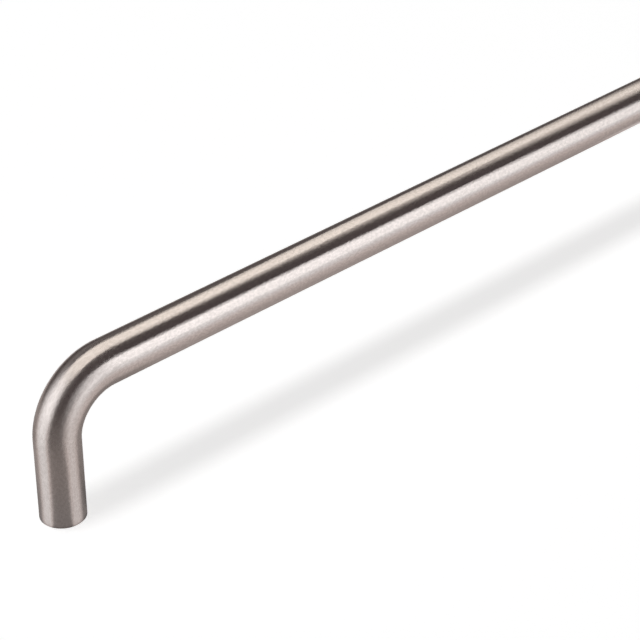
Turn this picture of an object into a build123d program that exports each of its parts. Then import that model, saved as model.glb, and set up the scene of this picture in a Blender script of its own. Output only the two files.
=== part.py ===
"""Cabinet handle: one round steel bar, bent square at both ends, with a tapped hole in each foot.

Sizes are in millimetres. The handle stands on its two feet, the flat faces that meet the door.
The origin is on the door's face, midway between the feet. +X runs along the grip, and +Z points
away from the door.
"""

import os
from math import radians, tan

from build123d import *

# The bar and its bends
BAR_DIAMETER = 10.0
SCREW_SPACING = 224.0  # from the middle of one foot to the middle of the other
PROJECTION = 37.0  # from the door to the outermost line of the grip
BEND_RADIUS = 13.0  # to the middle of the bar
FOOT_CHAMFER = 0.1  # the broken edge of each sawn and faced end

# The tapped hole in each foot, for an M4 machine screw
SCREW_DIAMETER = 4.0
SCREW_PITCH = 0.7
HOLE_DEPTH = 14.0  # to the end of the straight wall
DRILL_POINT_ANGLE = 118.0
COUNTERSINK_ANGLE = 90.0
COUNTERSINK_MARGIN = 0.4  # how much wider than the screw the mouth opens

# Worked out from the sizes above
foot_x = SCREW_SPACING / 2
grip_z = PROJECTION - BAR_DIAMETER / 2
tap_drill_radius = (SCREW_DIAMETER - SCREW_PITCH) / 2
countersink_radius = (SCREW_DIAMETER + COUNTERSINK_MARGIN) / 2


def cone_height(radius, angle):
    """How far a cone of this full angle runs while its radius grows from nothing to the one given."""
    return radius / tan(radians(angle / 2))


def bent_bar():
    """The round bar carried along its centreline: up one leg, along the grip and down the other leg."""
    centreline = FilletPolyline(
        (-foot_x, 0, 0),
        (-foot_x, 0, grip_z),
        (foot_x, 0, grip_z),
        (foot_x, 0, 0),
        radius=BEND_RADIUS,
    )
    section = Pos(-foot_x, 0, 0) * Circle(BAR_DIAMETER / 2)
    bar = sweep(section, path=centreline)
    foot_edges = bar.edges().group_by(Axis.Z)[0]
    return chamfer(foot_edges, FOOT_CHAMFER)


def tapped_hole():
    """The space that the drill and the countersink leave, standing on the foot with its mouth down."""
    mouth_depth = cone_height(countersink_radius - tap_drill_radius, COUNTERSINK_ANGLE)
    tip_depth = HOLE_DEPTH + cone_height(tap_drill_radius, DRILL_POINT_ANGLE)
    half_section = Polyline(
        (0, 0),
        (countersink_radius, 0),
        (tap_drill_radius, mouth_depth),
        (tap_drill_radius, HOLE_DEPTH),
        (0, tip_depth),
        close=True,
    )
    return revolve(Plane.XZ * make_face(half_section), Axis.Z)


def handle_bar():
    """The bent bar with a tapped hole drilled up into the middle of each foot."""
    handle = bent_bar()
    for side in (-1, 1):
        handle -= Pos(side * foot_x, 0, 0) * tapped_hole()
    return handle


os.makedirs("parts", exist_ok=True)
export_step(handle_bar(), "parts/handle_bar.step")
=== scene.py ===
# %% [markdown]
# # A bent bar handle in brushed steel
#
# This cabinet handle is one round steel bar. A bender turns both its ends square, the cut ends are
# faced off flat, and a screw comes up into each of them from behind the door. The solid model comes
# first, as a fixed frame: the outside sizes are read from it, and nothing in this lesson moves or
# resizes it.

# %% Load the solid model
from math import cos, pi, radians, sin, tan

import bpy
import numpy as np
from mathutils import Matrix, Vector


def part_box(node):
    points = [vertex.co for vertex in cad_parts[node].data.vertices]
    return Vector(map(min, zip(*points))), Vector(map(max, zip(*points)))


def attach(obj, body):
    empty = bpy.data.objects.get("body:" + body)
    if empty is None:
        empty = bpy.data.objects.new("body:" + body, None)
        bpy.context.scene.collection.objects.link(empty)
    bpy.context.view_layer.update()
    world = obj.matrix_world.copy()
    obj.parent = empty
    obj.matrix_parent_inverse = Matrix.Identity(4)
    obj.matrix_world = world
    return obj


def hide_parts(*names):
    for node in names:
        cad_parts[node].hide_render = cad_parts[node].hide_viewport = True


MM = 0.001
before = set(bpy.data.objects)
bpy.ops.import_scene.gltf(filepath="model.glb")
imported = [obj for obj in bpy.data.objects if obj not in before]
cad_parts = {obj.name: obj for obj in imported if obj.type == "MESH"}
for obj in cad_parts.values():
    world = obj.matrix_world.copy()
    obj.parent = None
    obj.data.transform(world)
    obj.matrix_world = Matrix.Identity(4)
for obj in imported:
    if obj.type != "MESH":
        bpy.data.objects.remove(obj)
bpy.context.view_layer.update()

# %% [markdown]
# ## The camera
#
# The picture was taken from above and to the left of the near foot, with a long lens from about half
# a metre. The place, the angles and the focal length below come from fitting a pinhole camera to both
# edges of the bar, so the render's perspective is the picture's own. A camera in Blender looks along
# its own -Z, so it is first tipped up from the floor, then turned to the right.

# %% Set up the camera
CAMERA_PLACE = Vector((-335.9, -321.19, 298.34)) * MM
CAMERA_TURN = radians(42.72)
CAMERA_DIP = radians(32.89)
CAMERA_ROLL = radians(0.34)
SENSOR_WIDTH = 36
FOCAL_PIXELS = 2354
FRAME_PIXELS = 640
NEAREST_SEEN = 10 * MM

camera_data = bpy.data.cameras.new("camera")
camera_data.sensor_width = SENSOR_WIDTH
camera_data.lens = SENSOR_WIDTH * FOCAL_PIXELS / FRAME_PIXELS
camera_data.clip_start = NEAREST_SEEN
camera = bpy.data.objects.new("camera", camera_data)
aim = Matrix.Rotation(-CAMERA_TURN, 4, "Z") @ Matrix.Rotation(pi / 2 - CAMERA_DIP, 4, "X")
camera.matrix_world = Matrix.Translation(CAMERA_PLACE) @ aim @ Matrix.Rotation(-CAMERA_ROLL, 4, "Z")
bpy.context.scene.collection.objects.link(camera)
bpy.context.scene.camera = camera
print("the lens is", round(camera_data.lens, 1), "mm long")

# %% [markdown]
# ## The line of the bar
#
# A bent bar is a circle carried along a line. A curve object with a round bevel would do that too,
# but its end caps can't be shaped and it has no way to cut a thread. Taken piece by piece, the line is
# short: up one leg, round a quarter circle, along the grip, round another quarter and down again. It
# lies in one plane, so each ring has one direction that faces the outside of the bends, and one that
# is always +Y.

# %% Work out the line of the bar
BEND_RADIUS = 13 * MM

low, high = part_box("handle_bar")
bar_radius = (high.y - low.y) / 2
foot_x = high.x - bar_radius
leg_length = high.z - bar_radius - BEND_RADIUS
bend_length = BEND_RADIUS * pi / 2
grip_length = 2 * (foot_x - BEND_RADIUS)
bar_length = 2 * (leg_length + bend_length) + grip_length


def bar_line(s):
    """Centre of the bar, and the direction out of its bends, at each distance s from the left foot.

    The first bend turns the bar by a, the second by b: each is the length that has gone into that
    bend over the bend's radius, at most a quarter turn. The bar rises by its left leg and the sine
    of a, and falls by one minus the cosine of b and its right leg. It moves along by one minus the
    cosine of a, the grip and the sine of b.
    """
    a = np.clip((s - leg_length) / BEND_RADIUS, 0, pi / 2)
    b = np.clip((s - leg_length - bend_length - grip_length) / BEND_RADIUS, 0, pi / 2)
    up = np.clip(s, None, leg_length)
    along = np.clip(s - leg_length - bend_length, 0, grip_length)
    down = np.clip(s - bar_length + leg_length, 0, None)
    x = -foot_x + BEND_RADIUS * (1 - np.cos(a)) + along + BEND_RADIUS * np.sin(b)
    z = up + BEND_RADIUS * np.sin(a) - BEND_RADIUS * (1 - np.cos(b)) - down
    flat = np.zeros_like(s)
    centre = np.stack([x, flat, z], axis=-1)
    outward = np.stack([-np.cos(a + b), flat, np.sin(a + b)], axis=-1)
    return centre, outward


print("the bar is", round(bar_length / MM, 1), "mm long before it is bent")

# %% [markdown]
# ## The tapped holes
#
# A blind hole is drilled and tapped up the middle of each foot. It could be cut out with a Boolean,
# which leaves a ragged mesh. It is round about the bar's line, though, so its wall is only a radius at
# each depth. The thread alone depends on the angle round the hole too. Its groove climbs one pitch in
# each turn, with a narrow flat at its root and a wider one on the ridge between turns.

# %% Work out a tapped hole
AROUND = 96
DRILL_RADIUS = 1.65 * MM
DRILL_POINT_ANGLE = radians(118)
THREAD_RADIUS = 2.0 * MM
THREAD_PITCH = 0.7 * MM
THREAD_DEPTH = 11.5 * MM
GROOVE_ROOT = 0.125
GROOVE_EDGE = 0.75
HOLE_DEPTH = 14 * MM
MOUTH_RADIUS = 2.2 * MM

theta = np.arange(AROUND) * 2 * pi / AROUND
drill_point = HOLE_DEPTH + DRILL_RADIUS / tan(DRILL_POINT_ANGLE / 2)


def hole_radius(depth, hand):
    """Radius of the tapped hole at each depth and angle: the wider of the thread and the countersink.

    The turn count is the depth over the pitch plus the angle's share of a full turn, and w is how far
    it is from the middle of a groove. The groove is whole for w under an eighth, gone over three
    quarters, and straight between. It runs out over one pitch at the end of the tap's travel. The
    countersink narrows by as much as it deepens. The hand is 1 in the left foot and -1 in the right,
    where the bar comes back and the angle counts the other way round.
    """
    turns = depth / THREAD_PITCH + hand * theta / (2 * pi)
    w = np.abs(2 * np.mod(turns, 1) - 1)
    groove = np.clip((GROOVE_EDGE - w) / (GROOVE_EDGE - GROOVE_ROOT), 0, 1)
    run_out = np.clip((THREAD_DEPTH - depth) / THREAD_PITCH, 0, 1)
    thread = DRILL_RADIUS + (THREAD_RADIUS - DRILL_RADIUS) * groove * run_out
    return np.maximum(thread, MOUTH_RADIUS - depth)


print("the thread makes", round(THREAD_DEPTH / THREAD_PITCH), "turns")

# %% [markdown]
# ## The feet
#
# Each end of the bar is faced flat and its sharp edge is broken. This is round about the bar's line as
# well, so the profile of the hole simply goes on: out of its mouth, across the foot and over the broken
# edge to the bar's skin. The corners are softened by a fiftieth of a millimetre.

# %% Draw the profile of a foot
BROKEN_EDGE = 0.1 * MM
SOFTENING = 0.02 * MM
HOLE_RINGS = 241
FACE_RINGS = 12


def foot_rings(hand):
    """Depth and radius of each ring, from the end of the hole out to the bar's skin.

    The hole's depths are evenly spaced. The rings of the face have no depth, and radii evenly spaced
    from mouth to edge. On the broken edge the radius grows by as much as the depth.
    """
    hole_depths = np.linspace(HOLE_DEPTH, 0, HOLE_RINGS)
    face_edge = bar_radius - BROKEN_EDGE
    face_radii = np.linspace(MOUTH_RADIUS + SOFTENING, face_edge - SOFTENING, FACE_RINGS)
    edge_depths = np.array([SOFTENING, BROKEN_EDGE - SOFTENING, BROKEN_EDGE + SOFTENING])
    edge_radii = np.minimum(face_edge + edge_depths, bar_radius)
    depths = np.concatenate([hole_depths, np.zeros_like(face_radii), edge_depths])
    plain_radii = np.concatenate([face_radii, edge_radii])
    in_hole = hole_radius(hole_depths[:, None], hand)
    outside = np.repeat(plain_radii[:, None], AROUND, axis=1)
    return depths, np.concatenate([in_hole, outside])


left_depths, left_radii = foot_rings(hand=1)
right_depths, right_radii = foot_rings(hand=-1)
print("a foot and its hole have", len(left_depths), "rings")

# %% [markdown]
# ## The skin of the whole bar
#
# The two feet and the bar between them make one list of rings, from one drill point to the other. The
# rings lie close together in the bends, where the bar curves, and further apart where it is straight.
# One list means one closed skin, with no caps to weld on.

# %% Carry the rings along the line
LEG_RINGS = 14
BEND_RINGS = 60
GRIP_RINGS = 90


def stretch(start, length, count):
    """Distances that divide one stretch of the bar evenly, without its far end."""
    return start + np.arange(count) * length / count


def carry_rings(s, r):
    """Points of the rings: the line's centre at s, plus r times the cosine of the angle along the
    outward direction, plus r times the sine of the angle along +Y."""
    centre, outward = bar_line(s)
    across = np.array([0.0, 1.0, 0.0])
    ring = np.cos(theta)[:, None] * outward[:, None, :] + np.sin(theta)[:, None] * across
    return centre[:, None, :] + r[:, :, None] * ring


first_ring = left_depths[-1]
bar_stretches = [
    stretch(first_ring, leg_length - first_ring, LEG_RINGS),
    stretch(leg_length, bend_length, BEND_RINGS),
    stretch(leg_length + bend_length, grip_length, GRIP_RINGS),
    stretch(bar_length - leg_length - bend_length, bend_length, BEND_RINGS),
    stretch(bar_length - leg_length, leg_length - first_ring, LEG_RINGS),
]
between = np.concatenate(bar_stretches)[1:]
ring_s = np.concatenate([left_depths, between, bar_length - right_depths[::-1]])
ring_r = np.concatenate([left_radii, np.full((len(between), AROUND), bar_radius), right_radii[::-1]])

skin = carry_rings(ring_s, ring_r)
points_of_drill = bar_line(np.array([drill_point, bar_length - drill_point]))[0]
print("the skin has", skin.shape[0], "rings of", skin.shape[1], "points")

# %% [markdown]
# ## From rings to a mesh
#
# Neighbouring rings are joined by quads, and each end closes in a fan of triangles on the drill's
# point. Taking the corners in the order ring, next ring, next angle makes every face look out of the
# steel, in the holes as well as outside.

# %% Join the rings
SHARP_EDGE = radians(50)

rings = len(ring_s)
corner = np.arange(rings * AROUND).reshape(rings, AROUND)
turned = np.roll(corner, -1, axis=1)
quads = np.stack([corner[:-1], corner[1:], turned[1:], turned[:-1]], axis=-1).reshape(-1, 4)
left_tip = rings * AROUND
right_tip = left_tip + 1
tip = np.ones(AROUND, dtype=int)
left_fan = np.stack([left_tip * tip, corner[0], turned[0]], axis=-1)
right_fan = np.stack([corner[-1], right_tip * tip, turned[-1]], axis=-1)

bar_mesh = bpy.data.meshes.new("bent_bar")
bar_points = np.concatenate([skin.reshape(-1, 3), points_of_drill])
bar_mesh.from_pydata(bar_points.tolist(), [], quads.tolist() + left_fan.tolist() + right_fan.tolist())
bar_mesh.polygons.foreach_set("use_smooth", np.ones(len(bar_mesh.polygons), dtype=bool))
bar_mesh.set_sharp_from_angle(angle=SHARP_EDGE)
print("the bar has", len(bar_mesh.polygons), "faces")

# %% [markdown]
# ## A place on the straight bar
#
# Brushing follows the bar and not the room, so the finish needs to know where each point lies on the
# bar before it was bent. An unwrapped UV map would have a seam down the bar. Instead each point keeps
# its distance along the profile in millimetres, and the cosine and sine of its angle. A second number
# is one in the bends, where bending has roughened the skin, and nothing on the straight stretches.

# %% Keep each point's place on the straight bar
BEND_RAMP = 6 * MM

profile_steps = np.hypot(np.diff(ring_s), np.diff(ring_r.mean(axis=1)))
profile_length = np.concatenate([[0], np.cumsum(profile_steps)]) / MM
unrolled = np.stack(np.broadcast_arrays(profile_length[:, None], np.cos(theta), np.sin(theta)), axis=-1)
tips = np.array([[0.0, 0.0, 0.0], [profile_length[-1], 0.0, 0.0]])
brushing = bar_mesh.attributes.new("brushing", "FLOAT_VECTOR", "POINT")
brushing.data.foreach_set("vector", np.concatenate([unrolled.reshape(-1, 3), tips]).ravel())

from_foot = np.minimum(ring_s, bar_length - ring_s)
into_bend = np.clip((from_foot - leg_length) / BEND_RAMP + 0.5, 0, 1)
out_of_bend = np.clip((leg_length + bend_length - from_foot) / BEND_RAMP + 0.5, 0, 1)
bent = bar_mesh.attributes.new("bent", "FLOAT", "POINT")
bent.data.foreach_set("value", np.append(np.repeat(into_bend * out_of_bend, AROUND), [0, 0]))
print("the profile is", round(profile_length[-1]), "mm long, from the end of one hole to the other")

# %% [markdown]
# ## The bar in the frame
#
# The new bar takes the place of the plain solid, has the same form, and rides on the same body.

# %% Put the bar in the frame
bent_bar = bpy.data.objects.new("bent_bar", bar_mesh)
bpy.context.scene.collection.objects.link(bent_bar)
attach(bent_bar, "root")
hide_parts("handle_bar")
print(bent_bar.name, "is in the place of the solid")

# %% [markdown]
# ## Maths in a material
#
# A finish is easier to read as a formula than as a web of nodes. The small class below wraps the
# output of a node, so that `0.3 + 0.05 * grain` adds the Math nodes by itself. Any other node comes
# from its one method: the type, the settings, then a value or a link for each socket.

# %% Write the helper for node formulas
class Signal:
    """An output socket. Sums, differences and products with numbers or other signals add Math nodes."""

    def __init__(self, socket):
        self.socket = socket

    @staticmethod
    def node(tree, kind, settings, inputs, output=0):
        """Add a node: its settings first, then the values or links of its sockets."""
        made = tree.nodes.new(kind)
        for name, value in settings.items():
            setattr(made, name, value)
        for key, value in inputs.items():
            socket = Signal.usable(made.inputs, key)
            if isinstance(value, Signal):
                tree.links.new(value.socket, socket)
            else:
                socket.default_value = value
        return Signal(Signal.usable(made.outputs, output)) if made.outputs else None

    @staticmethod
    def usable(sockets, key):
        """The socket at a number, or the first of that name that the settings leave in use."""
        if isinstance(key, int):
            return sockets[key]
        return next(socket for socket in sockets if socket.name == key and socket.enabled)

    def maths(self, operation, first, second=0):
        """A Math node in this signal's own tree."""
        inputs = {0: first, 1: second}
        return Signal.node(self.socket.id_data, "ShaderNodeMath", {"operation": operation}, inputs)

    def __add__(self, other):
        return self.maths("ADD", self, other)

    def __radd__(self, other):
        return self.maths("ADD", other, self)

    def __sub__(self, other):
        return self.maths("SUBTRACT", self, other)

    def __rsub__(self, other):
        return self.maths("SUBTRACT", other, self)

    def __mul__(self, other):
        return self.maths("MULTIPLY", self, other)

    def __rmul__(self, other):
        return self.maths("MULTIPLY", other, self)

    def __truediv__(self, other):
        return self.maths("DIVIDE", self, other)

    def root(self):
        """Its square root."""
        return self.maths("SQRT", self)

    def at_least(self, least):
        """Itself, or the least value where it is lower."""
        return self.maths("MAXIMUM", self, least)


def new_material(name):
    """An empty material and its node tree."""
    material = bpy.data.materials.new(name)
    material.use_nodes = True
    material.node_tree.nodes.clear()
    return material, material.node_tree


def smooth(value, start, end):
    """Nothing at the start, one at the end, and smooth between."""
    settings = {"interpolation_type": "SMOOTHSTEP"}
    inputs = {"Value": value, "From Min": start, "From Max": end}
    return Signal.node(value.socket.id_data, "ShaderNodeMapRange", settings, inputs)


def mixed_colour(tree, factor, first, second):
    """The first colour where the factor is nothing, and the second where it is one."""
    inputs = {"Factor": factor, "A": first, "B": second}
    return Signal.node(tree, "ShaderNodeMix", {"data_type": "RGBA"}, inputs, "Result")


print("node formulas are ready")

# %% [markdown]
# ## The grain of brushed steel
#
# The bar was brushed with a fine belt that ran round it, so its scratches are short arcs across the
# grip. They are too fine to model one by one. Here they are noise on the straight bar's coordinates,
# squeezed along the bar and drawn out round it. Three more noises vary the finish as the real one
# does: a speckle of light and dark grains, wide clouds of colour, and patches of better polish.

# %% Make the noise of the brushing
GRAIN_ROUGHNESS = 0.6
CONTRAST = (0.3, 0.7)

steel, steel_tree = new_material("brushed_steel")
on_bar = Signal.node(steel_tree, "ShaderNodeAttribute", {"attribute_name": "brushing"}, {}, "Vector")
bending = Signal.node(steel_tree, "ShaderNodeAttribute", {"attribute_name": "bent"}, {}, "Fac")


def grain(along, around, detail):
    """Noise with so many changes in a millimetre along the bar, and so many in a radian round it."""
    settings = {"operation": "MULTIPLY"}
    inputs = {0: on_bar, 1: (along, around, around)}
    stretched = Signal.node(steel_tree, "ShaderNodeVectorMath", settings, inputs)
    inputs = {"Vector": stretched, "Scale": 1, "Detail": detail, "Roughness": GRAIN_ROUGHNESS}
    return Signal.node(steel_tree, "ShaderNodeTexNoise", {}, inputs)


scratches = grain(along=3.2, around=2.0, detail=3)
speckle = smooth(grain(along=1.3, around=10, detail=1), *CONTRAST)
clouds = grain(along=0.5, around=1.2, detail=2)
polish = smooth(grain(along=1.3, around=8, detail=1), *CONTRAST)
print("the grain has", len(steel_tree.nodes), "nodes")

# %% [markdown]
# ## The shine of brushed steel
#
# Together the scratches spread reflections along the bar and leave them crisp round it, which is why
# the light lies on the bar in long, clean bands. That spread is the shader's anisotropy. Its direction
# comes from the mesh's texture space, which is moved far away along X so that it points to +Y
# everywhere, round the bar, and a quarter turn then points it along the bar. In the bends the skin was
# stretched, so it is rougher there and its speckle is stronger.

# %% Mix the brushed steel
STEEL = (0.687, 0.634, 0.615, 1)
STEEL_SHADE = (0.604, 0.555, 0.536, 1)
HALF = 0.5
SPECKLE_SHADE = 0.8
SPECKLE_SHADE_OF_BENDS = 0.5
CLOUD_SHADE = 0.2
ROUGHNESS = 0.184
ROUGHNESS_OF_SCRATCHES = 0.04
ROUGHNESS_OF_POLISH = 0.03
ROUGHNESS_OF_BENDS = 0.07
SCRATCH_HEIGHT = 0.6
SPECKLE_HEIGHT = 0.4
BUMP_STRENGTH = 0.5
BUMP_DEPTH = 0.025 * MM
ANISOTROPY = 0.87
QUARTER_TURN = 0.25
TEXTURE_SPACE_PLACE = (-10, 0, 0)

speckle_shade = SPECKLE_SHADE + SPECKLE_SHADE_OF_BENDS * bending
shade = HALF + speckle_shade * (speckle - HALF) + CLOUD_SHADE * (clouds - HALF)
roughness = ROUGHNESS + ROUGHNESS_OF_SCRATCHES * scratches + ROUGHNESS_OF_POLISH * polish
height = SCRATCH_HEIGHT * scratches + SPECKLE_HEIGHT * speckle
inputs = {"Height": height, "Strength": BUMP_STRENGTH, "Distance": BUMP_DEPTH}
bump = Signal.node(steel_tree, "ShaderNodeBump", {}, inputs)
inputs = {
    "Base Color": mixed_colour(steel_tree, shade, STEEL_SHADE, STEEL),
    "Metallic": 1,
    "Roughness": roughness + ROUGHNESS_OF_BENDS * bending,
    "Anisotropic": ANISOTROPY,
    "Anisotropic Rotation": QUARTER_TURN,
    "Normal": bump,
}
shine = Signal.node(steel_tree, "ShaderNodeBsdfPrincipled", {}, inputs)
Signal.node(steel_tree, "ShaderNodeOutputMaterial", {}, {"Surface": shine})
bar_mesh.materials.append(steel)

bar_mesh.use_auto_texspace = False
bar_mesh.texspace_location = TEXTURE_SPACE_PLACE
bar_mesh.texspace_size = (1, 1, 1)
print("the steel has", len(steel_tree.nodes), "nodes")

# %% [markdown]
# ## The floor
#
# The handle stands on a plain white table. The table is lit by the lamp, so it keeps the handle's soft
# shadow, and it glows as well for the camera and in reflections, so that it comes out white without
# more light on the steel. The lamp's light falls off far from the handle, so the glow grows there.

# %% Lay the floor
FLOOR_HALF = 4.0

floor_mesh = bpy.data.meshes.new("floor")
floor_corners = FLOOR_HALF * np.array([[-1, -1, 0], [1, -1, 0], [1, 1, 0], [-1, 1, 0]])
floor_mesh.from_pydata(floor_corners.tolist(), [], [[0, 1, 2, 3]])
floor = bpy.data.objects.new("floor", floor_mesh)
bpy.context.scene.collection.objects.link(floor)
print("the floor is", 2 * FLOOR_HALF, "metres wide")

# %% Paint the floor
FLOOR_PAINT = (0.8, 0.8, 0.8, 1)
FLOOR_GLOW = (0.720, 0.720, 0.720, 1)
FLOOR_EDGE_GLOW = (0.94, 0.94, 0.94, 1)
GLOW_GROWS = (0.3, 3.2)


def seen_directly(tree):
    """One for camera, glossy and transmission rays, nothing for light that bounces round the room."""
    camera_ray = Signal.node(tree, "ShaderNodeLightPath", {}, {}, "Is Camera Ray")
    glossy_ray = Signal.node(tree, "ShaderNodeLightPath", {}, {}, "Is Glossy Ray")
    transmission_ray = Signal.node(tree, "ShaderNodeLightPath", {}, {}, "Is Transmission Ray")
    return camera_ray + glossy_ray + transmission_ray


floor_paint, floor_tree = new_material("floor_paint")
paint = Signal.node(floor_tree, "ShaderNodeBsdfDiffuse", {}, {"Color": FLOOR_PAINT})
spot = Signal.node(floor_tree, "ShaderNodeTexCoord", {}, {}, "Object")
away = Signal.node(floor_tree, "ShaderNodeVectorMath", {"operation": "LENGTH"}, {0: spot}, "Value")
outwards = smooth(away, *GLOW_GROWS)
white = mixed_colour(floor_tree, outwards, FLOOR_GLOW, FLOOR_EDGE_GLOW)
inputs = {"Color": white, "Strength": seen_directly(floor_tree)}
floor_glow = Signal.node(floor_tree, "ShaderNodeEmission", {}, inputs)
both = Signal.node(floor_tree, "ShaderNodeAddShader", {}, {0: paint, 1: floor_glow})
Signal.node(floor_tree, "ShaderNodeOutputMaterial", {}, {"Surface": both})
floor_mesh.materials.append(floor_paint)
print("the floor's paint has", len(floor_tree.nodes), "nodes")

# %% [markdown]
# ## Cards of light
#
# Polished metal has almost no look of its own: it shows the studio. The long bands on the bar are soft
# boxes and the dark of the room between them. Each box is a glowing card here, given by the points of
# its foot and of its top, with edges that fade. Real area lamps would light the table as well, and they
# can't have such edges. The cards are only there to be seen in the steel, so the camera doesn't see
# them and they throw no shadow.

# %% Make a card
COLUMN_STEPS = 8
CARD_ROWS = 33


def seen_in_steel(name, points, faces):
    """A mesh that only reflections show."""
    mesh = bpy.data.meshes.new(name)
    mesh.from_pydata(np.asarray(points).tolist(), [], np.asarray(faces).tolist())
    made = bpy.data.objects.new(name, mesh)
    bpy.context.scene.collection.objects.link(made)
    made.visible_camera = False
    made.visible_diffuse = False
    made.visible_shadow = False
    return mesh


def rise(share, fade):
    """Light beside an edge, from 0 to 1 over the fade: three squares less two cubes of the way gone."""
    if fade == 0:
        return np.ones_like(share)
    way = np.clip(share / fade, 0, 1)
    return way * way * (3 - 2 * way)


def along_edge(edge, columns):
    """The points of an edge at each column, counted in given points and straight between them."""
    given = np.arange(len(edge))
    return np.stack([np.interp(columns, given, part) for part in np.transpose(edge)], axis=-1)


def card_grid(foot, top, fades):
    """Points of a card between the points of its foot and of its top, and how much it covers at each.

    Each given point is x, y, z and the share of the glow there, and the card goes straight from one
    to the next and from foot to top. On it, u is the share of the foot's length that has gone by, and
    v is 0 at the foot and 1 at the top. The fades are the shares of u and v over which the light rises
    from nothing at the start of the foot, at its end, at the foot and at the top.
    """
    last = len(foot) - 1
    columns = np.linspace(0, last, COLUMN_STEPS * last + 1)
    low_edge = along_edge(foot, columns)
    high_edge = along_edge(top, columns)
    v = np.linspace(0, 1, CARD_ROWS)[:, None]
    grid = low_edge + v[:, :, None] * (high_edge - low_edge)
    steps = np.linalg.norm(np.diff(low_edge[:, :3], axis=0), axis=1)
    u = np.append(0, np.cumsum(steps)) / steps.sum()
    at_ends = rise(u, fades[0]) * rise(1 - u, fades[1])
    at_edges = rise(v, fades[2]) * rise(1 - v, fades[3])
    return grid[..., :3], grid[..., 3] * at_ends * at_edges


print("a card has", CARD_ROWS, "rows of points")

# %% Make a soft box
def soft_box(name, foot, top, glow, fades):
    """A glowing card, clear where it covers nothing, with its foot, top and fades as in card_grid."""
    grid, cover = card_grid(foot, top, fades)
    number = np.arange(cover.size).reshape(cover.shape)
    faces = np.stack([number[:-1, :-1], number[:-1, 1:], number[1:, 1:], number[1:, :-1]], axis=-1)
    mesh = seen_in_steel(name, grid.reshape(-1, 3), faces.reshape(-1, 4))
    mesh.attributes.new("cover", "FLOAT", "POINT").data.foreach_set("value", cover.ravel())

    material, tree = new_material(name)
    covered = Signal.node(tree, "ShaderNodeAttribute", {"attribute_name": "cover"}, {}, "Fac")
    clear = Signal.node(tree, "ShaderNodeBsdfTransparent", {}, {})
    light = Signal.node(tree, "ShaderNodeEmission", {}, {"Color": (*glow, 1)})
    mixed = Signal.node(tree, "ShaderNodeMixShader", {}, {0: covered, 1: clear, 2: light})
    Signal.node(tree, "ShaderNodeOutputMaterial", {}, {"Surface": mixed})
    mesh.materials.append(material)
    print("hung", name, "with", len(mesh.polygons), "faces")


def level_edge(x, y, z, share):
    """Points of an edge from their x, y, z and shares of the glow, each a row or one number for all."""
    return np.stack(np.broadcast_arrays(x, y, z, share), axis=-1)


print("soft boxes are ready to hang")

# %% [markdown]
# ## The soft box on the right
#
# A tall box to the right of the camera makes the wide bright band on the near side of the grip. The
# band ends where the box does, so its top edge is given point by point. It is brightest opposite the
# start of the grip and dimmer towards its foot.

# %% Hang the right box
RIGHT_GLOW = (1.87, 1.87, 1.87)
RIGHT_Y = -0.75
right_x = np.array([-0.65, 0.10, 0.25, 0.42, 0.50, 0.64, 0.72, 0.86, 0.96, 1.5])
right_top_z = np.array([0.60, 0.545, 0.535, 0.553, 0.63, 0.775, 0.775, 0.69, 0.47, 0.4])
right_foot_share = np.array([0.65, 0.68, 0.80, 0.85, 0.67, 0.63, 0.61, 0.61, 0.57, 0])
right_top_share = np.array([0.87, 0.87, 0.87, 0.99, 0.97, 0.91, 0.89, 0.85, 0.78, 0])

right_foot = level_edge(right_x, RIGHT_Y, 0, right_foot_share)
right_top = level_edge(right_x, RIGHT_Y, right_top_z, right_top_share)
soft_box("right_box", right_foot, right_top, RIGHT_GLOW, fades=(0.46, 0, 0, 0))

# %% [markdown]
# ## The soft box on the left
#
# A second box stands to the left of the near foot and faces it. It lights the outside of the near bend,
# and it fades towards both its ends, so that its band has soft edges there.

# %% Hang the left box
LEFT_GLOW = (1.5, 1.5, 1.5)
LEFT_AZIMUTH = radians(157)
LEFT_DISTANCE = 0.8
LEFT_REACH = 0.79
LEFT_REACH_BACK = 1.2
LEFT_HEIGHT = 1.3

towards_left = np.array([cos(LEFT_AZIMUTH), sin(LEFT_AZIMUTH), 0, 0])
sideways = np.array([sin(LEFT_AZIMUTH), -cos(LEFT_AZIMUTH), 0, 0])
left_middle = np.array([-foot_x, 0, 0, 1]) + LEFT_DISTANCE * towards_left
left_foot = np.stack([left_middle - LEFT_REACH * sideways, left_middle + LEFT_REACH_BACK * sideways])
left_top = left_foot + np.array([0, 0, LEFT_HEIGHT, 0])
soft_box("left_box", left_foot, left_top, LEFT_GLOW, fades=(0.29, 0.66, 0, 0.3))

# %% [markdown]
# ## The warm ceiling
#
# A warm sheet hangs above the handle and comes down behind its far half. It makes the cream band along
# the top of the grip, and its front and back edges are the two sides of that band. A dim glow from the
# wall behind it lifts the dark line along the back of the grip.

# %% Hang the warm ceiling
WARM_GLOW = (1.27, 1.205, 1.11)
WARM_Z = 0.9
warm_x = np.array([-0.85, -0.16, 0.22, 0.34, 0.42, 0.49, 0.56, 0.62, 0.68, 0.75, 0.86, 1.5])
warm_back_y = np.array([0.74, 0.72, 0.70, 0.69, 0.70, 0.735, 0.82, 0.90, 0.93, 0.93, 0.93, 0.93])
warm_front_y = np.array([-0.33, -0.17, -0.14, -0.08, -0.02, 0.08, 0.16, 0.19, 0.205, 0.18, -0.02, -0.25])
warm_share = np.array([1, 1, 1, 1, 1, 1, 1, 1, 1, 1, 0.97, 0.9])

warm_back = level_edge(warm_x, warm_back_y, WARM_Z, warm_share)
warm_front = level_edge(warm_x, warm_front_y, WARM_Z, warm_share)
soft_box("warm_ceiling", warm_back, warm_front, WARM_GLOW, fades=(0.2, 0.03, 0.03, 0.02))

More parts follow.
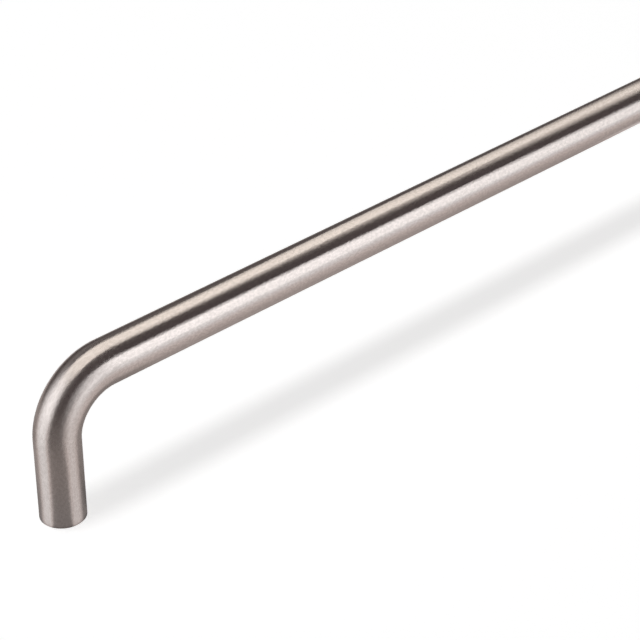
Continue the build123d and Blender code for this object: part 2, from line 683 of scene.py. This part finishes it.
# %% Hang the drop behind
DROP_Y = 0.93
drop_x = np.array([0.625, 0.645, 0.665, 0.70, 0.76, 0.85, 0.91, 1.02, 1.09, 1.13, 1.5])
drop_foot_z = np.array([0.88, 0.73, 0.54, 0.44, 0.41, 0.43, 0.47, 0.55, 0.66, 0.72, 0.8])

drop_foot = level_edge(drop_x, DROP_Y, drop_foot_z, 1)
drop_top = level_edge(drop_x, DROP_Y, WARM_Z, 1)
soft_box("warm_drop", drop_foot, drop_top, WARM_GLOW, fades=(0, 0.05, 0.2, 0))

# %% Hang the dim glow at the back
BACK_Y = 1.0
BACK_FOOT_Z = 0.25
BACK_TOP_Z = 0.75
BACK_SHARE = 0.08
back_x = np.array([-0.7, 1.0])

back_foot = level_edge(back_x, BACK_Y, BACK_FOOT_Z, BACK_SHARE)
back_top = level_edge(back_x, BACK_Y, BACK_TOP_Z, BACK_SHARE)
soft_box("back_glow", back_foot, back_top, WARM_GLOW, fades=(0.15, 0.3, 0.3, 0.2))

# %% [markdown]
# ## The table in the steel
#
# Below the bar the steel shows the table, which is brightest towards the soft boxes and falls off
# behind the bar and round its feet. A glowing card on the table, seen only by the steel, carries those
# levels as a painted reflection: painted light towards the boxes, painted shade behind the bar and
# round the feet. They are formulas of the place on the table, mostly made of fans: directions from a
# point that are bright in the middle and fade to both sides.

# %% Lay the card of painted reflection
REFLECTION_CARD_SHARE = 0.999
REFLECTION_CARD_LIFT = 0.02 * MM

# The card glows with a painted reflection of the table: its light and shade are the levels below.
reflection_card_corners = REFLECTION_CARD_SHARE * floor_corners + np.array([0, 0, REFLECTION_CARD_LIFT])
reflection_card_mesh = seen_in_steel("painted_table_reflection", reflection_card_corners, [[0, 1, 2, 3]])
grey, reflection_tree = new_material("painted_table_reflection")
reflection_card_mesh.materials.append(grey)
print("the grey card lies", REFLECTION_CARD_LIFT / MM, "mm over the floor")

# %% Write the helpers for light on the table
place = Signal.node(reflection_tree, "ShaderNodeTexCoord", {}, {}, "Object")
x = Signal.node(reflection_tree, "ShaderNodeSeparateXYZ", {}, {0: place}, "X")
y = Signal.node(reflection_tree, "ShaderNodeSeparateXYZ", {}, {0: place}, "Y")
near_x = x + foot_x
far_x = x - foot_x


def length(dx, dy):
    """Length of an offset on the table: the root of the sum of its squares."""
    return (dx * dx + dy * dy).root()


def fan(dx, dy, apex, azimuth, inner, outer):
    """One inside a fan of directions from its apex, nothing outside it, and smooth between.

    The cosine of the angle from the fan's middle is the offset along that direction over the
    distance. It is compared with the cosines of the inner and outer half angles, in degrees. The
    apex is in millimetres from the middle of a foot.
    """
    from_x = dx - apex[0] * MM
    from_y = dy - apex[1] * MM
    forward = cos(radians(azimuth)) * from_x + sin(radians(azimuth)) * from_y
    return smooth(forward / length(from_x, from_y), cos(radians(outer)), cos(radians(inner)))


print("fans can open from both feet,", round(2 * foot_x / MM), "mm apart")

# %% [markdown]
# ## The open table
#
# In front of the bar the painted reflection of the table brightens towards the right box, quickly at
# first and then ever more slowly, and a little less beyond the middle of the grip. Behind the bar it is
# painted shade: dim, a little lighter a few centimetres back, and dark further away. A bright fan of
# painted light runs from the near foot to the left box.

# %% Light the open table
OPEN_LEVEL = 0.2
FRONT_FAN = {"apex": (0, 0), "azimuth": -38, "inner": 40, "outer": 78}
FRONT_LEVEL = 0.23
FRONT_RISE = 0.95
FRONT_START = -8 * MM
FRONT_HALF_WAY = 0.09
NEAR_SHARE = 1.03
FAR_FALL = 0.09
FAR_FALL_SPAN = (0.1, 0.2)
BACK_FAN = {"apex": (0, 0), "azimuth": 85, "inner": 20, "outer": 60}
BACK_LEVEL = 0.1
BACK_FAN_LEVEL = 0.2
BACK_SPAN = (20 * MM, 90 * MM)
FAR_BACK_FALL = 0.8
FAR_BACK_SPAN = (0.12, 0.3)
LEFT_FAN = {"apex": (-3.2, -2.05), "azimuth": 155, "inner": 3, "outer": 42}
LEFT_FAN_LEVEL = 0.8

ahead = (FRONT_START - y).at_least(0)
towards_box = FRONT_LEVEL + FRONT_RISE * ahead / (ahead + FRONT_HALF_WAY)
falling_off = NEAR_SHARE - FAR_FALL * smooth(near_x, *FAR_FALL_SPAN)
behind = BACK_LEVEL + BACK_FAN_LEVEL * fan(near_x, y, **BACK_FAN)
table = OPEN_LEVEL + fan(near_x, y, **FRONT_FAN) * towards_box * falling_off
table = table + smooth(y, *BACK_SPAN) * behind
table = table * (1 - FAR_BACK_FALL * smooth(y, *FAR_BACK_SPAN))
table = table + LEFT_FAN_LEVEL * fan(near_x, y, **LEFT_FAN)
print("the open table has", len(reflection_tree.nodes), "nodes")

# %% [markdown]
# ## The table by a foot
#
# Close to a foot the table is painted dim, as painted shade where the leg and the grip stand in the
# way of the boxes. It is dimmest below the grip, and a little lighter behind the foot and to its left.
# Two bright fans of painted light stand on that, one towards each soft box: they are the two light
# stripes on the leg.

# %% Work out the light by a foot
LEAVING_SPAN = (8 * MM, 26 * MM)
CLOSE_LEVEL = 0.255
OFF_FOOT_RISE = 0.03
UNDER_GRIP_SHADE = 0.1
BEHIND_FOOT_RISE = 0.1
LEFT_HAZE_RISE = 0.05
RIGHT_STRIPE_RISE = 0.51
LEFT_STRIPE_RISE = 0.58
BEHIND_FOOT_FAN = {"apex": (0, 0), "azimuth": 105, "inner": 10, "outer": 40}
LEFT_HAZE_FAN = {"apex": LEFT_FAN["apex"], "azimuth": 155, "inner": 20, "outer": 70}
RIGHT_FAN = {"apex": (-1.2, -3.25), "azimuth": -57, "inner": 3, "outer": 41}


def leaving_foot(distance):
    """Nothing close to a foot, one well away from it, and smooth between."""
    return smooth(distance, *LEAVING_SPAN)


def by_foot(dx, dy, grip_azimuth):
    """Painted light and shade by a foot: a level all round, plus or minus the share of each fan."""
    off_foot = leaving_foot(length(dx, dy))
    shade_under_grip = (1 - off_foot) * fan(dx, dy, (0, 0), grip_azimuth, inner=10, outer=40)
    behind_foot = off_foot * fan(dx, dy, **BEHIND_FOOT_FAN)
    light = CLOSE_LEVEL + OFF_FOOT_RISE * off_foot - UNDER_GRIP_SHADE * shade_under_grip
    light = light + BEHIND_FOOT_RISE * behind_foot + LEFT_HAZE_RISE * fan(dx, dy, **LEFT_HAZE_FAN)
    light = light + RIGHT_STRIPE_RISE * fan(dx, dy, **RIGHT_FAN)
    return light + LEFT_STRIPE_RISE * fan(dx, dy, **LEFT_FAN)


near_light = by_foot(near_x, y, grip_azimuth=5)
far_light = by_foot(far_x, y, grip_azimuth=175)
print("with both feet the card has", len(reflection_tree.nodes), "nodes")

# %% [markdown]
# ## The levels together
#
# The open table gives way to the light by each foot over a centimetre or two. The far foot also has a
# dim side of painted shade away from the camera, and its own bright fan of painted light towards the
# left box. Last, a painted contact shadow darkens the table in the narrow gap where it meets a foot.

# %% Put the levels together
DIM_SIDE_FAN = {"apex": (0, 0), "azimuth": 57, "inner": 60, "outer": 85}
DIM_SIDE_LEVEL = 0.26
DIM_SIDE_SPAN = (60 * MM, 120 * MM)
FAR_LEFT_LEVEL = 0.85
FAR_LEFT_SPAN = (22 * MM, 46 * MM)
NEAR_FOOT_SPAN = (30 * MM, 46 * MM)
FAR_FOOT_SPAN = (16 * MM, 28 * MM)
CONTACT_SHADOW_LEVEL = 0.3
CONTACT_SHADOW_SPAN = (4.5 * MM, 5.6 * MM)


def within(distance, span):
    """One up to the start of the span, nothing from its end on, and smooth between."""
    return 1 - smooth(distance, *span)


def turn_to(level, goal, share):
    """The level, moved by a share of the way to its goal."""
    return level + share * (goal - level)


def painted_contact_shadow(distance):
    """Painted contact shadow: dark below the edge of a foot, one just outside it, and smooth between."""
    return CONTACT_SHADOW_LEVEL + (1 - CONTACT_SHADOW_LEVEL) * smooth(distance, *CONTACT_SHADOW_SPAN)


near_distance = length(near_x, y)
far_distance = length(far_x, y)
dim_side = fan(far_x, y, **DIM_SIDE_FAN) * within(far_distance, DIM_SIDE_SPAN)
far_left_fan = fan(far_x, y, **LEFT_FAN) * within(far_distance, FAR_LEFT_SPAN)
level = turn_to(table, near_light, within(near_distance, NEAR_FOOT_SPAN))
level = turn_to(level, DIM_SIDE_LEVEL, dim_side)
level = turn_to(level, FAR_LEFT_LEVEL, far_left_fan)
level = turn_to(level, far_light, within(far_distance, FAR_FOOT_SPAN))
level = level * painted_contact_shadow(near_distance) * painted_contact_shadow(far_distance)
print("the levels have", len(reflection_tree.nodes), "nodes")

# %% [markdown]
# ## The tint of the table
#
# The painted reflection is tinted. Where the table is dim, its light comes from the warm ceiling and
# from the steel, so it is a little warm, and less so close to the feet. Where it is bright, it is white.

# %% Tint the painted reflection
WARM_TINT = (1, 0.895, 0.85, 1)
FOOT_TINT = (1, 0.925, 0.9, 1)
WHITE = (1, 1, 1, 1)
WHITE_SPAN = (0.6, 1)

off_feet = leaving_foot(near_distance) * leaving_foot(far_distance)
warm = mixed_colour(reflection_tree, off_feet, FOOT_TINT, WARM_TINT)
tint = mixed_colour(reflection_tree, smooth(level, *WHITE_SPAN), warm, WHITE)
inputs = {0: tint, "Scale": level}
lit = Signal.node(reflection_tree, "ShaderNodeVectorMath", {"operation": "SCALE"}, inputs)
painted_reflection_glow = Signal.node(reflection_tree, "ShaderNodeEmission", {}, {"Color": lit})
Signal.node(reflection_tree, "ShaderNodeOutputMaterial", {}, {"Surface": painted_reflection_glow})
print("the grey card has", len(reflection_tree.nodes), "nodes")

# %% [markdown]
# ## The lamp
#
# One lamp hangs over the handle and throws the soft shadow below the bar. A wide disc gives the shadow
# its soft edges. The steel doesn't show it, because the soft boxes are what is seen there.

# %% Hang the lamp
LAMP_PLACE = (-0.25, 0.18, 3.0)
LAMP_WIDTH = 0.7
LAMP_WATTS = 24.8

lamp_data = bpy.data.lights.new("overhead_lamp", "AREA")
lamp_data.shape = "DISK"
lamp_data.size = LAMP_WIDTH
lamp_data.energy = LAMP_WATTS
lamp = bpy.data.objects.new("overhead_lamp", lamp_data)
lamp.location = LAMP_PLACE
lamp.visible_glossy = False
bpy.context.scene.collection.objects.link(lamp)
print("the lamp gives", LAMP_WATTS, "watts")

# %% [markdown]
# ## The room
#
# The room is white where the camera looks past the floor, and gives only a little light. The steel sees
# a dark tent instead, which glows faintly as a painted reflection of a dark room and makes the dark
# bands between the boxes. Colours are shown as they are worked out, with the Standard view.

# %% Set up the room
ROOM_LIGHT = 0.08
TENT_HALF = 2.5
TENT_HEM = -0.01
TENT_DARK_GLOW = (0.090, 0.075, 0.074, 1)

world = bpy.data.worlds.new("room")
bpy.context.scene.world = world
world.use_nodes = True
room_tree = world.node_tree
room_tree.nodes.clear()
inputs = {"Color": WHITE, "Strength": ROOM_LIGHT + (1 - ROOM_LIGHT) * seen_directly(room_tree)}
sky = Signal.node(room_tree, "ShaderNodeBackground", {}, inputs)
Signal.node(room_tree, "ShaderNodeOutputWorld", {}, {"Surface": sky})

square = [[-1, -1], [1, -1], [-1, 1], [1, 1]]
tent_corners = TENT_HALF * np.array([[*side, up] for up in (TENT_HEM, 1) for side in square])
tent_faces = [[0, 1, 5, 4], [2, 3, 7, 6], [0, 2, 6, 4], [1, 3, 7, 5], [4, 5, 7, 6]]
tent_mesh = seen_in_steel("dark_tent", tent_corners, tent_faces)
tent_dark_glow, tent_tree = new_material("dark_tent")
dark = Signal.node(tent_tree, "ShaderNodeEmission", {}, {"Color": TENT_DARK_GLOW})
Signal.node(tent_tree, "ShaderNodeOutputMaterial", {}, {"Surface": dark})
tent_mesh.materials.append(tent_dark_glow)
bpy.context.scene.view_settings.view_transform = "Standard"
print("the tent is", 2 * TENT_HALF, "metres wide")
